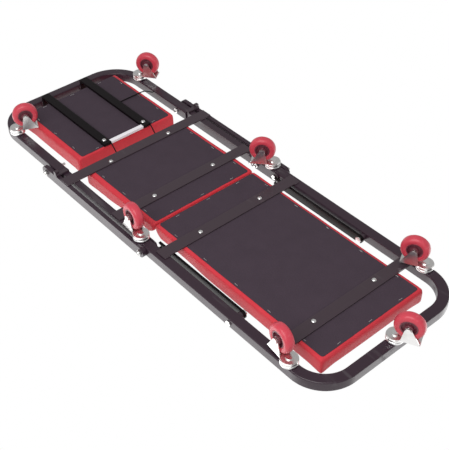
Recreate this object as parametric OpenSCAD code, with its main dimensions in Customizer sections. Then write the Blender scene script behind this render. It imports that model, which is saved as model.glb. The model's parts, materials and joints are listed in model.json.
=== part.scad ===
// Rolling workshop creeper that folds into a low seat, shown lying flat on its seven casters.
// +X points to the foot end and +Z up. The origin is on the floor, on the centre line, below the fold's axis.

/* [Casters] */
// Diameter of each wheel over its tread
wheel_d = 63.5; // [56:0.5:72]
// Width of each wheel's tread
wheel_w = 22; // [18:0.5:25]
// Diameter of each wheel's hub
hub_d = 37; // [32:1:44]
// Diameter of each wheel's axle bolt
axle_d = 8; // [6:0.5:10]
// How far each wheel's axle trails its swivel axis
caster_trail = 25; // [22:0.5:30]
// Length of each fork's crown, from its swivel axis to its far end
crown_l = 52; // [46:1:58]
// Distance of each ear's near edge from the swivel axis, at the crown
ear_at = 12; // [8:0.5:15]
// Diameter of each swivel's ball race
race_d = 38; // [34:1:42]
// Diameter of the pin that each caster swivels on
king_d = 10; // [8:0.5:11]
// Thickness of the fork's sheet steel
fork_t = 2.5; // [2:0.1:3.5]
// Height of each swivel, from the fork's crown to the tube
swivel_h = 13; // [10:0.5:16]
// Distance of the head casters from the frame's head end
head_caster_at = 105.5; // [100:0.5:125]
// Distance of the knee casters from the fold's axis
knee_caster_at = 24; // [22:0.5:26]
// Distance of the foot casters from the frame's foot end
foot_caster_at = 104; // [90:1:120]

/* [Frame] */
// Width and depth of the square tube
tube = 25; // [22:0.5:28]
// Wall of the square tube
tube_wall = 1.5; // [1:0.1:3]
// Width over the foot section's rails
foot_w = 418; // [400:1:460]
// Length of the foot section from the fold's axis to its end
foot_l = 552; // [545:1:640]
// Length of the rails' stubs past the fold's axis
stub_l = 41; // [38:1:46]
// Outer radius of the foot section's corners
foot_bend = 88; // [60:1:100]
// Distance between the fold's axis and the head hinge's axis
middle_l = 378.5; // [376:0.5:400]
// Length of the head section from its hinge axis to its end
head_l = 282; // [280:1:320]
// How much narrower the head section is than the foot section
head_step = 8; // [2:0.5:10]
// Outer radius of the head section's corners
head_bend = 100; // [60:1:100]
// Length of the head rails' stubs past the head hinge's axis
head_stub = 38; // [36:0.5:40]

/* [Middle section] */
// Thickness of the bars outside the rails
side_t = 10.5; // [8:0.5:14]
// How far the outside bars run past the head hinge's axis
side_past = 19; // [15:0.5:24]
// Width of the middle section's own rails
mid_rail_w = 17.3; // [12:0.1:20]
// Thickness of the hinge plates inside the stubs
plate_t = 3.5; // [2:0.1:5]
// Thickness of the stop blocks under the head rails' stubs
stop_t = 4.8; // [3:0.1:5]
// Depth of each stop block's outer lug
lug_t = 12; // [8:0.5:16]

/* [Cross bars] */
// Width of each cross bar
bar_w = 30; // [26:1:36]
// Thickness of each cross bar
bar_t = 3; // [2:0.5:4]
// Distance of the back bar's centre from the head hinge's axis
back_bar_at = 78; // [78:1:100]
// Distance of the seat bar's centre from the fold's axis
seat_bar_at = 119; // [105:1:140]
// Distance of the knee bar's centre from the fold's axis
knee_bar_at = 49.3; // [40:0.1:100]
// Distance of the foot bar's centre from the foot pad's far end
foot_bar_at = 78; // [60:1:110]
// Distance of the board bolts from the centre line
bolt_y = 88; // [60:1:110]
// Diameter of the board bolts
bolt_d = 6; // [5:0.5:8]

/* [Pads] */
// Gap between the foot and middle pads and the foot section's rails
pad_side_gap = 39; // [34:0.5:50]
// Gap between the head pad and the head section's rails
head_side_gap = 40; // [36:0.5:50]
// Gap between the foot pad and the frame's foot end
foot_end_gap = 40.7; // [36:0.1:60]
// Gap between the middle pad and the head pad
pads_gap = 32.2; // [30:0.1:50]
// Gap between the head pad and the frame's head end
head_end_gap = 30; // [26:0.5:45]
// Height of each pad over its board's underside
pad_t = 36; // [28:0.5:36.5]
// Thickness of each pad's board
board_t = 9; // [6:0.5:10]
// Drop of the head pad below the other two
head_drop = 9; // [6:0.5:11]
// Radius of the pads' corners in plan
pad_corner = 7; // [6.5:0.5:20]
// Radius of the pads' upper edges
pad_roll = 9; // [5:0.5:14]
// How far the two pad ends that fold together curve back
fold_roll = 28; // [26:0.5:32]

/* [Head pad supports] */
// Width of the two bars under the head pad
pad_bar_w = 22; // [16:1:28]
// Thickness of the two bars under the head pad
pad_bar_t = 7; // [5:0.5:8]
// Distance of the two bars from the centre line
pad_bar_y = 60; // [45:1:75]
// Width of the bright strap between the two bars
strap_w = 11; // [8:0.5:16]
// Diameter of the wires at the head pad
wire_d = 3; // [2:0.5:4]

/* [Props] */
// Distance of the props' pivot from the fold's axis
prop_x = 286; // [280:1:292]
// Depth of each prop
prop_w = 20; // [16:0.5:22]
// Thickness of each prop
prop_t = 6; // [4:0.5:7]
// How far each prop's fork reaches past the pin it takes
fork_reach = 8; // [5:0.5:9]
// Angle between the raised middle section and the floor
fold_angle = 45; // [44:0.5:50]

/* [Hinges] */
// Diameter of the hinge bolts and of the props' pivots
hinge_d = 8; // [6:0.5:10]
// Thickness of the hinge bolts' inner nuts
nut_t = 3.4; // [2.5:0.1:4.5]
// Length of the bright cap nuts outside the bars
cap_l = 10; // [8:0.5:14]

/* [Hidden] */
$fn = 64;
// Overrun of every cut, and overlap of solids that are one piece
over = 1;
eps = 0.01;
// Radial clearance of every pin in its hole
fit = 0.08;
// Air between parts that slide past each other
air = 0.3;
// Air between a nut and the part that turns beside it
nut_air = 0.2;

// Heights over the floor
axle_z = wheel_d / 2;
crown_air = 1;
crown_z = wheel_d + crown_air;
frame_z = crown_z + fork_t + swivel_h;
hinge_z = frame_z + tube / 2;
head_pad_z = frame_z - head_drop;
bar_z = frame_z - bar_t;

// Widths from the centre line
foot_half = foot_w / 2;
foot_in = foot_half - tube;
head_half = foot_half - head_step / 2;
head_in = head_half - tube;
side_in = foot_half + air + nut_air;
side_out = side_in + side_t;
plate_out = foot_in - air;
plate_in = plate_out - plate_t;
mid_rail_out = plate_out + mid_rail_w;
pad_w = 2 * (foot_in - pad_side_gap);
head_pad_w = 2 * (head_in - head_side_gap);

// Places along X
head_x = -middle_l;
head_end = head_x - head_l;
joint_x = -stub_l;
pad_air = 0.3;
foot_pad_x = joint_x + pad_air;
foot_pad_l = foot_l - tube - foot_end_gap - foot_pad_x;
head_pad_back = 35;
head_pad_end = head_x + head_pad_back;
head_pad_x = head_end + tube + head_end_gap;
head_pad_l = head_pad_end - head_pad_x;
mid_pad_x = head_pad_end + pads_gap;
mid_pad_l = joint_x - pad_air - mid_pad_x;
head_stub_sweep = sqrt(pow(head_stub, 2) + pow(tube / 2, 2));
mid_rail_x = head_x + head_stub_sweep + air;
foot_stub_sweep = sqrt(pow(stub_l, 2) + pow(tube / 2, 2));
mid_rail_end = -foot_stub_sweep - air;

// Cross bars: their centres, how far the bolts lie from those, and where the bars end
back_bolt_shift = 6;
foot_bolt_shift = 4;
bar_end_step = 1;
back_bar_x = head_x + back_bar_at;
back_bolt_x = back_bar_x + back_bolt_shift;
seat_bar_x = -seat_bar_at;
knee_bar_x = knee_bar_at;
foot_bar_x = foot_pad_x + foot_pad_l - foot_bar_at;
foot_bolt_x = foot_bar_x - foot_bolt_shift;
bar_end = mid_rail_out - bar_end_step;
back_bar_end = side_out - bar_end_step;

// Hinge plates: how far they lap the middle rails, and where along that their bolts are
plate_lap = 50;
plate_bolt_shares = [0.38, 0.7];
plate_bolt_xs = [for (s = plate_bolt_shares) mid_rail_end - plate_lap * s];

// Boards: set in from their pad's outline, in a pocket with a little air round them
board_inset = 4.5;
pocket_air = 0.2;

// Pads: drawn in at the underside, upright to a share of their height, rolled over at the upper edge and crowned
pad_draw = 2;
draw_share = 0.25;
pad_side_share = 0.3;
pad_edge_share = 0.935;
pad_core = 12;
crown_shares = [0.2, 0.45, 0.72, 1];
least_corner_share = 0.25;
corner_steps = 8;
roll_step = 11.25;
corner_signs = [[1, 1], [-1, 1], [-1, -1], [1, -1]];

// Props: the fork takes the head hinge's pin when the seat is up, and meets it at this lean
prop_gap = 1.4;
pin_past = 1;
approach_lean = 18;
pin_x = middle_l * cos(fold_angle);
pin_up = middle_l * sin(fold_angle);
prop_l = sqrt(pow(prop_x - pin_x, 2) + pow(pin_up, 2));
pin_in = plate_in - nut_air - nut_t;
prop_out = pin_in - prop_gap;
prop_in = prop_out - prop_t;
pin_end = prop_in - pin_past;

// Stop blocks: their edge meets the head rails' underside when the seat is up
stop_l = 12;
lug_l = 9;
stop_at = (tube / 2 + (tube / 2 + stop_t) * cos(fold_angle)) / sin(fold_angle);
stop_x = head_x + stop_at + nut_air;

// Head pad supports
pad_bar_short = 1;
pad_bar_leg_share = 0.8;
pad_screw_at = 18;
pad_screw_x = head_pad_end - pad_screw_at;
pad_bar_x = head_end + tube;
pad_bar_end = head_pad_end - pad_bar_short;
pad_bar_z = head_pad_z - pad_bar_t;
pad_bar_in = pad_bar_y - pad_bar_w / 2;
pad_bar_out = pad_bar_y + pad_bar_w / 2;

// Wires: a bent tip at each bar's foot end, and a stay between the right rail and its bar
wire_sides = 8;
tip_run = 4;
tip_reach = 22;
tip_rise = 18;
stay_at = 100;
stay_run = 4;
stay_drop = 30;

// Swivels: a boss on the tube, two cups with air between them, and the pin's head under the fork's crown
boss_h = 0.6;
cup_h = (swivel_h - boss_h - air) / 2;
king_head_h = 2.2;
crown_step = 1;
fork_air = 1.2;
fork_in = wheel_w / 2 + fork_air;
fork_out = fork_in + fork_t;
ear_r_share = 0.8;
ear_r = axle_d * ear_r_share;

// Wheels: shares of the tread's width, and of the hub's and the axle's diameters
shoulder_share = 0.3;
seat_w_share = 0.45;
chamfer_share = 0.1;
rim_w_share = 0.45;
web_w_share = 0.2;
rim_in_share = 0.41;
boss_share = 1.1;

// Fasteners: shares of their bolts' diameters, and how far a bolt goes into the board
head_r_share = 0.9;
head_h_share = 0.5;
in_board_share = 0.9;
inner_nut_share = 0.85;
dome_r_share = 0.75;
cap_hex_share = 0.4;
king_head_share = 0.8;
king_nut_share = 0.85;
king_nut_h_share = 0.4;
axle_head_share = 0.8;
axle_nut_share = 0.85;
axle_head_h_share = 0.45;
swivel_boss_share = 0.46;
arc_step = 15;

// Casters: name, swivel place, and heading from +X
rail_y = foot_half - tube / 2;
head_rail_y = head_half - tube / 2;
CASTERS = [
  ["head_right", head_end + head_caster_at, -head_rail_y, -35],
  ["head_left", head_end + head_caster_at, head_rail_y, -66],
  ["knee_left", -knee_caster_at, rail_y, -176],
  ["knee_right", -knee_caster_at, -rail_y, 139],
  ["foot_right", foot_l - foot_caster_at, -rail_y, 152],
  ["foot_left", foot_l - foot_caster_at, rail_y, -173],
  ["foot_end", foot_l - tube / 2, 0, -27],
];
HEAD_CASTERS = [0, 1];
BASE_CASTERS = [2, 3, 4, 5, 6];
CASTER_PARTS = ["fork", "tyre", "hub", "axle"];

// Small helpers
module both_sides() {
  children();
  mirror([0, 1, 0]) children();
}

// Cylinder along +Y from y0 to y1
module y_rod(r, y0, y1) {
  translate([0, y0, 0]) rotate([-90, 0, 0]) cylinder(h = y1 - y0, r = r);
}

// Outline in X and Z, extruded along Y from y0 to y1
module y_plate(y0, y1) {
  translate([0, y1, 0]) rotate([90, 0, 0]) linear_extrude(y1 - y0) children();
}

// Bar outline from x0 to x1, with its ends rounded to half its depth
module slot_outline(x0, x1, depth) {
  translate([x0 + depth / 2, -depth / 2]) square([x1 - x0 - depth, depth]);
  translate([x0 + depth / 2, 0]) circle(r = depth / 2);
  translate([x1 - depth / 2, 0]) circle(r = depth / 2);
}

// Outline in plan of a U whose closed end is rounded
module u_outline(x0, x1, half, bend) {
  translate([x0, -half]) square([x1 - bend - x0, 2 * half]);
  translate([x1 - bend, bend - half]) square([bend, 2 * (half - bend)]);
  for (side = [-1, 1]) translate([x1 - bend, side * (half - bend)]) circle(r = bend);
}

// Square tube bent to a U, hollow, with its two ends closed
module u_tube(x0, x1, half, bend) {
  inset = tube - tube_wall;
  difference() {
    translate([0, 0, frame_z]) linear_extrude(tube) difference() {
      u_outline(x0, x1, half, bend);
      u_outline(x0 - over, x1 - tube, half - tube, bend - tube);
    }
    translate([0, 0, frame_z + tube_wall]) linear_extrude(tube - 2 * tube_wall) difference() {
      u_outline(x0 + tube_wall, x1 - tube_wall, half - tube_wall, bend - tube_wall);
      u_outline(x0 - over, x1 - inset, half - inset, bend - inset);
    }
  }
}

// Hex nut along +Y
module y_nut(r, y0, y1) {
  translate([0, y0, 0]) rotate([-90, 0, 0]) cylinder(h = y1 - y0, r = r, $fn = 6);
}

// Domed cap nut along +Y, starting at y0
module cap_nut(y0) {
  dome_r = hinge_d * dome_r_share;
  hex_l = cap_l * cap_hex_share;
  y_nut(hinge_d * head_r_share, y0, y0 + hex_l);
  translate([0, y0 + hex_l, 0]) rotate([-90, 0, 0]) rotate_extrude()
    polygon(concat([[0, 0]], [for (a = [0 : arc_step : 90]) [dome_r * cos(a), (cap_l - hex_l) * sin(a)]]));
}

// Domed head below z, with its shank rising through what it holds
module dome_bolt(z, head_r, head_h, shank_r, shank_l) {
  translate([0, 0, z]) mirror([0, 0, 1]) rotate_extrude()
    polygon(concat([[0, 0]], [for (a = [0 : arc_step : 90]) [head_r * cos(a), head_h * sin(a)]]));
  translate([0, 0, z - eps]) cylinder(h = shank_l + eps, r = shank_r);
}

// Base section
module foot_frame() {
  color("#2b2b2d") difference() {
    u_tube(joint_x, foot_l, foot_half, foot_bend);
    for (x = [0, prop_x]) translate([x, 0, hinge_z]) both_sides()
      y_rod(hinge_d / 2 + fit, foot_in - over, foot_half + over);
    for (i = BASE_CASTERS) king_hole(CASTERS[i]);
  }
}

module cross_bar(x, end, bolt_x) {
  color("#232324") difference() {
    translate([x - bar_w / 2, -end, bar_z]) cube([bar_w, 2 * end, bar_t]);
    bolt_holes(bolt_x, bar_z);
  }
}

module bolt_holes(x, z) {
  for (side = [-1, 1]) translate([x, side * bolt_y, z - over])
    cylinder(h = bar_t + board_t + 2 * over, r = bolt_d / 2 + fit);
}

module board_bolts(places) {
  color("white") for (x = places, side = [-1, 1]) translate([x, side * bolt_y, 0])
    dome_bolt(bar_z, bolt_d * head_r_share, bolt_d * head_h_share, bolt_d / 2, bar_t + board_t * in_board_share);
}

module knee_bar() {
  cross_bar(knee_bar_x, bar_end, knee_bar_x);
}

module foot_bar() {
  cross_bar(foot_bar_x, bar_end, foot_bolt_x);
}

module foot_bolts() {
  board_bolts([knee_bar_x, foot_bolt_x]);
}

// Pads: the board lies in a pocket in the underside of its cushion
module board(x0, l, w, z, bolt_xs) {
  color("#2e2b2e") difference() {
    translate([x0 + board_inset, board_inset - w / 2, z]) cube([l - 2 * board_inset, w - 2 * board_inset, board_t]);
    for (x = bolt_xs) bolt_holes(x, z);
  }
}

// How far a pad's edge is set back at height z. A soft edge curves back from low on its side.
function edge_inset(z, soft) =
  let (
    edge = pad_t * pad_edge_share,
    depth = soft ? edge - pad_t * pad_side_share : pad_roll,
    share = min(1, max(0, 1 + (z - edge) / depth))
  )
  (soft ? fold_roll : pad_roll) * (1 - sqrt(1 - share * share));

// Rings of a pad's form, from the underside up: insets of its sides and of its two ends, and height. w is the pad's
// shorter side, and softs says which of its two ends are soft.
function pad_rings(w, softs) =
  let (
    side = pad_t * pad_side_share,
    edge = pad_t * pad_edge_share,
    reach = w / 2 - pad_roll - pad_core,
    ends = [for (soft = softs) soft ? fold_roll : pad_roll],
    tuck = pad_draw * draw_share
  )
  concat(
    [[pad_draw, pad_draw, pad_draw, 0], [tuck, tuck, tuck, side / 2]],
    [
      for (a = [0 : roll_step : 90])
        let (z = side + (edge - side) * sin(a))
        [edge_inset(z, false), edge_inset(z, softs[0]), edge_inset(z, softs[1]), z]
    ],
    [
      for (s = crown_shares)
        let (in = reach * s)
        [pad_roll + in, ends[0] + in, ends[1] + in, edge + (pad_t - edge) * (1 - pow(1 - s, 2))]
    ]
  );

// Points of one ring: a rectangle with round corners
function ring_points(l, w, ring) =
  let (
    r = max(pad_corner - ring[0], pad_corner * least_corner_share),
    mid = (l + ring[1] - ring[2]) / 2,
    half = (l - ring[1] - ring[2]) / 2
  )
  [
    for (corner = [0 : 3], i = [0 : corner_steps])
      let (a = 90 * (corner + i / corner_steps), s = corner_signs[corner])
      [mid + s[0] * (half - r) + r * cos(a), s[1] * (w / 2 - ring[0] - r) + r * sin(a), ring[3]]
  ];

module pad_form(l, w, softs) {
  rings = pad_rings(min(l, w), softs);
  n = 4 * (corner_steps + 1);
  last = len(rings) - 1;
  points = [for (ring = rings) each ring_points(l, w, ring)];
  sides = [
    for (k = [0 : last - 1], i = [0 : n - 1])
      let (a = k * n + i, b = k * n + (i + 1) % n)
      each [[a, b + n, b], [a, a + n, b + n]]
  ];
  polyhedron(points, concat([[for (i = [0 : n - 1]) i]], sides, [[for (i = [n - 1 : -1 : 0]) last * n + i]]));
}

module cushion(x0, l, w, z, softs) {
  pocket = board_inset - pocket_air;
  color("#c42232") difference() {
    translate([x0, 0, z]) pad_form(l, w, softs);
    translate([x0 + pocket, pocket - w / 2, z - over])
      cube([l - 2 * pocket, w - 2 * pocket, board_t + over]);
  }
}

module foot_board() {
  board(foot_pad_x, foot_pad_l, pad_w, frame_z, [knee_bar_x, foot_bolt_x]);
}

module foot_cushion() {
  cushion(foot_pad_x, foot_pad_l, pad_w, frame_z, [true, false]);
}

// Middle section
module side_bar() {
  x0 = head_x - side_past;
  boss_r = hinge_d * boss_share;
  color("#343436") difference() {
    translate([0, 0, hinge_z]) {
      difference() {
        y_plate(side_in, side_out) slot_outline(x0, tube / 2, tube);
        y_plate(side_in + tube_wall, side_out - tube_wall)
          slot_outline(x0 + tube_wall, tube / 2 - tube_wall, tube - 2 * tube_wall);
      }
      translate([head_x, 0, 0]) y_rod(boss_r, head_half + nut_air, side_in + tube_wall / 2);
    }
    for (x = [head_x, 0]) translate([x, 0, hinge_z]) y_rod(hinge_d / 2 + fit, head_half, side_out + over);
  }
}

module side_bar_left() {
  side_bar();
}

module side_bar_right() {
  mirror([0, 1, 0]) side_bar();
}

module mid_rail() {
  l = mid_rail_end - mid_rail_x;
  color("#2b2b2d") difference() {
    union() {
      difference() {
        translate([mid_rail_x, plate_out, frame_z]) cube([l, mid_rail_w, tube]);
        translate([mid_rail_x + tube_wall, plate_out + tube_wall, frame_z + tube_wall])
          cube([l - 2 * tube_wall, mid_rail_w - 2 * tube_wall, tube - 2 * tube_wall]);
      }
      translate([0, 0, hinge_z]) y_plate(plate_in, plate_out) {
        translate([mid_rail_end - plate_lap, -tube / 2]) square([plate_lap - mid_rail_end, tube]);
        circle(r = tube / 2);
      }
    }
    translate([0, 0, hinge_z]) y_rod(hinge_d / 2 + fit, plate_in - over, plate_out + over);
    for (x = plate_bolt_xs) translate([x, 0, hinge_z])
      y_rod(bolt_d / 2 + fit, plate_in - over, plate_out + tube_wall + over);
  }
}

module mid_rail_left() {
  mid_rail();
}

module mid_rail_right() {
  mirror([0, 1, 0]) mid_rail();
}

module back_bar() {
  cross_bar(back_bar_x, back_bar_end, back_bolt_x);
}

module seat_bar() {
  cross_bar(seat_bar_x, bar_end, seat_bar_x);
}

// Shelf under the head rail's stub and the rails beside it, with a deeper lug outside
module stop_blocks() {
  color("#1c1c1d") both_sides() {
    translate([stop_x, plate_out, frame_z - stop_t]) cube([stop_l, side_out - plate_out, stop_t]);
    translate([stop_x, side_in, frame_z - lug_t]) cube([lug_l, side_t, lug_t]);
  }
}

module mid_board() {
  board(mid_pad_x, mid_pad_l, pad_w, frame_z, [back_bolt_x, seat_bar_x]);
}

module mid_cushion() {
  cushion(mid_pad_x, mid_pad_l, pad_w, frame_z, [false, true]);
}

// Board bolts, and the bolts that hold the hinge plates to the rails
module mid_bolts() {
  board_bolts([back_bolt_x, seat_bar_x]);
  color("white") for (x = plate_bolt_xs) translate([x, 0, hinge_z]) both_sides() {
    y_rod(bolt_d / 2, plate_in - nut_t - bolt_d, plate_out + tube_wall);
    y_nut(bolt_d * head_r_share, plate_in - nut_t, plate_in);
  }
}

// Fold axis: inner nut, shank and outer cap nut on each side
module fold_bolts() {
  color("silver") translate([0, 0, hinge_z]) both_sides() {
    y_rod(hinge_d / 2, pin_in, side_out + nut_air + eps);
    y_nut(hinge_d * inner_nut_share, pin_in, pin_in + nut_t);
    cap_nut(side_out + nut_air);
  }
}

// Head hinge: the same, with its inner end left long for the prop's fork
module head_bolts() {
  color("silver") translate([head_x, 0, hinge_z]) both_sides() {
    y_rod(hinge_d / 2, pin_end, side_out + nut_air + eps);
    y_nut(hinge_d * inner_nut_share, pin_in, head_in);
    cap_nut(side_out + nut_air);
  }
}

// Props that hold the seat up, lying flat along the foot section's rails
module prop() {
  r = hinge_d / 2 + nut_air;
  tip = prop_l + fork_reach;
  flare = (fork_reach + over) * tan(approach_lean);
  color("#262628") difference() {
    translate([prop_x, 0, hinge_z]) y_plate(prop_in, prop_out) difference() {
      union() {
        circle(r = prop_w / 2);
        translate([-tip, -prop_w / 2]) square([tip, prop_w]);
      }
      translate([-prop_l, 0]) circle(r = r);
      polygon([
        [-prop_l, r], [-prop_l, -r],
        [-tip - over, -r - flare], [-tip - over, r]
      ]);
    }
    translate([prop_x, 0, hinge_z]) y_rod(hinge_d / 2 + fit, prop_in - over, prop_out + over);
  }
}

module prop_left() {
  prop();
}

module prop_right() {
  mirror([0, 1, 0]) prop();
}

module prop_bolts() {
  head_r = hinge_d * head_r_share;
  inner = prop_in - nut_air - nut_t;
  color("silver") translate([prop_x, 0, hinge_z]) both_sides() {
    y_rod(hinge_d / 2, inner, foot_half + eps);
    y_rod(head_r, inner, inner + nut_t);
    y_nut(head_r, foot_half, foot_half + nut_t);
  }
}

module prop_spacers() {
  color("#3a3a3c") translate([prop_x, 0, hinge_z]) both_sides() difference() {
    y_rod(hinge_d, prop_out + nut_air, foot_in);
    y_rod(hinge_d / 2 + fit, prop_out, foot_in + over);
  }
}

// Head section
module head_frame() {
  color("#2b2b2d") difference() {
    mirror([1, 0, 0]) u_tube(-head_x - head_stub, -head_end, head_half, head_bend);
    translate([head_x, 0, hinge_z]) both_sides() y_rod(hinge_d / 2 + fit, head_in - over, head_half + over);
    for (i = HEAD_CASTERS) king_hole(CASTERS[i]);
  }
}

// Flat bar under the head pad, turned up and welded to the frame's end
module pad_bar() {
  top = frame_z + tube * pad_bar_leg_share;
  leg = pad_bar_x + pad_bar_t;
  color("#222224") difference() {
    y_plate(pad_bar_in, pad_bar_out) polygon([
      [pad_bar_x, pad_bar_z], [pad_bar_end, pad_bar_z], [pad_bar_end, head_pad_z],
      [leg, head_pad_z], [leg, top], [pad_bar_x, top]
    ]);
    translate([pad_screw_x, pad_bar_y, pad_bar_z - over])
      cylinder(h = pad_bar_t + 2 * over, r = bolt_d / 2 + fit);
  }
}

module pad_bar_left() {
  pad_bar();
}

module pad_bar_right() {
  mirror([0, 1, 0]) pad_bar();
}

// Strap between the two bars, flush with their foot ends
module pad_strap() {
  color("white") translate([pad_bar_end - strap_w, -pad_bar_in, pad_bar_z])
    cube([strap_w, 2 * pad_bar_in, pad_bar_t]);
}

module head_board() {
  color("#2e2b2e") difference() {
    board(head_pad_x, head_pad_l, head_pad_w, head_pad_z, []);
    for (side = [-1, 1]) translate([pad_screw_x, side * pad_bar_y, head_pad_z - over])
      cylinder(h = board_t + 2 * over, r = bolt_d / 2 + fit);
  }
}

module head_cushion() {
  cushion(head_pad_x, head_pad_l, head_pad_w, head_pad_z, [false, false]);
}

module pad_screws() {
  color("white") for (side = [-1, 1]) translate([pad_screw_x, side * pad_bar_y, 0])
    dome_bolt(pad_bar_z, bolt_d * head_r_share, bolt_d * head_h_share, bolt_d / 2,
              pad_bar_t + board_t * in_board_share);
}

// Rod between two points
module rod(p, q, r) {
  v = q - p;
  translate(p) rotate([0, acos(v[2] / norm(v)), atan2(v[1], v[0])]) cylinder(h = norm(v), r = r, $fn = wire_sides);
}

// Rod bent along a row of points
module bent_rod(points, r) {
  last = len(points) - 1;
  for (i = [1 : last]) rod(points[i - 1], points[i], r);
  for (i = [1 : last - 1]) translate(points[i]) sphere(r = r, $fn = wire_sides);
}

module pad_wires() {
  r = wire_d / 2;
  wire_z = head_pad_z - pad_bar_t / 2;
  stay_x = head_x - stay_at;
  color("#141414") {
    for (side = [-1, 1]) {
      y = side * pad_bar_y - pad_bar_w / 2 + wire_d;
      bent_rod([
        [pad_bar_end, y, wire_z],
        [pad_bar_end + tip_run, y, wire_z],
        [pad_bar_end + tip_reach, y, wire_z + tip_rise]
      ], r);
    }
    bent_rod([
      [stay_x, -head_in, frame_z + wire_d],
      [stay_x, stay_run - head_in, frame_z + wire_d],
      [stay_x, stay_drop - head_in, wire_z],
      [stay_x, -pad_bar_out, wire_z]
    ], r);
  }
}

// Casters
module king_hole(c) {
  translate([c[1], c[2], frame_z - over]) cylinder(h = tube + 2 * over, r = king_d / 2 + fit);
}

module race(c) {
  head_r = king_d * king_head_share;
  bottom = crown_z - nut_air - king_head_h;
  nut_h = king_d * king_nut_h_share;
  top = frame_z + tube;
  translate([c[1], c[2], 0]) {
    translate([0, 0, frame_z - boss_h]) cylinder(h = boss_h, r = tube * swivel_boss_share);
    translate([0, 0, frame_z - boss_h - cup_h]) cylinder(h = cup_h, r = race_d / 2);
    translate([0, 0, bottom]) cylinder(h = king_head_h, r = head_r);
    translate([0, 0, bottom]) cylinder(h = top - bottom + nut_h, r = king_d / 2);
    translate([0, 0, top]) cylinder(h = nut_h, r = king_d * king_nut_share, $fn = 6);
  }
}

module base_races() {
  color("silver") for (i = BASE_CASTERS) race(CASTERS[i]);
}

module head_races() {
  color("silver") for (i = HEAD_CASTERS) race(CASTERS[i]);
}

// Puts a part that is drawn along +X from the swivel axis in its caster's place
module at_caster(c) {
  translate([c[1], c[2], 0]) rotate([0, 0, c[3]]) children();
}

// Point where the line from p touches the circle of radius r about q, on the side given by its sign
function touch(p, q, r, side) =
  let (
    d = norm(q - p),
    a = atan2(q[1] - p[1], q[0] - p[0]) + side * asin(r / d),
    l = sqrt(d * d - r * r)
  )
  p + l * [cos(a), sin(a)];

module ear_outline() {
  top = crown_z + fork_t;
  a = [ear_at, top];
  b = [crown_l, top];
  q = [caster_trail, axle_z];
  polygon([a, b, touch(b, q, ear_r, 1), q, touch(a, q, ear_r, -1)]);
  translate(q) circle(r = ear_r);
}

module fork() {
  cup_z = crown_z + fork_t;
  color("gainsboro") difference() {
    union() {
      for (y = [-fork_out, fork_in]) y_plate(y, y + fork_t) ear_outline();
      translate([0, -fork_out, crown_z]) cube([crown_l, 2 * fork_out, fork_t]);
      translate([0, 0, crown_z]) cylinder(h = fork_t, r = race_d / 2 - crown_step);
      translate([0, 0, cup_z - eps]) cylinder(h = cup_h + eps, r = race_d / 2);
    }
    translate([0, 0, crown_z - over]) cylinder(h = swivel_h + fork_t + 2 * over, r = king_d / 2 + fit);
    translate([caster_trail, 0, axle_z]) y_rod(axle_d / 2 + fit, -fork_out - over, fork_out + over);
  }
}

// Revolves an outline of [radius, along axle] points about the axle
module about_axle() {
  translate([caster_trail, 0, axle_z]) rotate([-90, 0, 0]) rotate_extrude() children();
}

module tyre() {
  w = wheel_w / 2;
  r = wheel_d / 2;
  shoulder = wheel_w * shoulder_share;
  seat_w = wheel_w * seat_w_share;
  chamfer_r = hub_d / 2 + wheel_w * chamfer_share;
  color("#d02a34") about_axle() polygon(concat(
    [[hub_d / 2, -seat_w], [chamfer_r, -w]],
    [for (a = [-90 : arc_step : 0]) [r - shoulder + shoulder * cos(a), shoulder - w + shoulder * sin(a)]],
    [for (a = [0 : arc_step : 90]) [r - shoulder + shoulder * cos(a), w - shoulder + shoulder * sin(a)]],
    [[chamfer_r, w], [hub_d / 2, seat_w]]
  ));
}

module hub() {
  bore = axle_d / 2 + fit;
  boss_r = axle_d * boss_share;
  boss = fork_in - air;
  rim = wheel_w * rim_w_share;
  web = wheel_w * web_w_share;
  rim_in = hub_d * rim_in_share;
  color("#3a1418") about_axle() polygon([
    [bore, -boss], [boss_r, -boss], [boss_r, -web], [rim_in, -web], [rim_in, -rim], [hub_d / 2, -rim],
    [hub_d / 2, rim], [rim_in, rim], [rim_in, web], [boss_r, web], [boss_r, boss], [bore, boss]
  ]);
}

module axle() {
  head = axle_d * axle_head_h_share;
  color("silver") translate([caster_trail, 0, axle_z]) {
    y_rod(axle_d / 2, -fork_out, fork_out);
    y_rod(axle_d * axle_head_share, -fork_out - head, -fork_out + eps);
    y_nut(axle_d * axle_nut_share, fork_out - eps, fork_out + head);
  }
}

foot_frame();
knee_bar();
foot_bar();
foot_board();
foot_cushion();
foot_bolts();
prop_bolts();
prop_spacers();
fold_bolts();
base_races();
side_bar_left();
side_bar_right();
mid_rail_left();
mid_rail_right();
back_bar();
seat_bar();
stop_blocks();
mid_board();
mid_cushion();
mid_bolts();
prop_left();
prop_right();
head_frame();
head_bolts();
head_races();
pad_bar_left();
pad_bar_right();
pad_strap();
head_board();
head_cushion();
pad_screws();
pad_wires();
for (c = CASTERS) {
  at_caster(c) fork();
  at_caster(c) tyre();
  at_caster(c) hub();
  at_caster(c) axle();
}
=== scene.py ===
# %% [markdown]
# # A creeper that folds into a seat
#
# A creeper is the padded board on casters that a mechanic lies on to reach under a car. This one has three
# pads on a frame of black square tube, and its middle section folds up so that the head section becomes a
# low stool. The photograph shows it upside down, so our main camera looks up at it from below. The packed
# model is the fixed frame: every piece made here sits where that frame says, in metres.

import json
import math

import bmesh
import bpy
from mathutils import Matrix, Vector, noise


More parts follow.
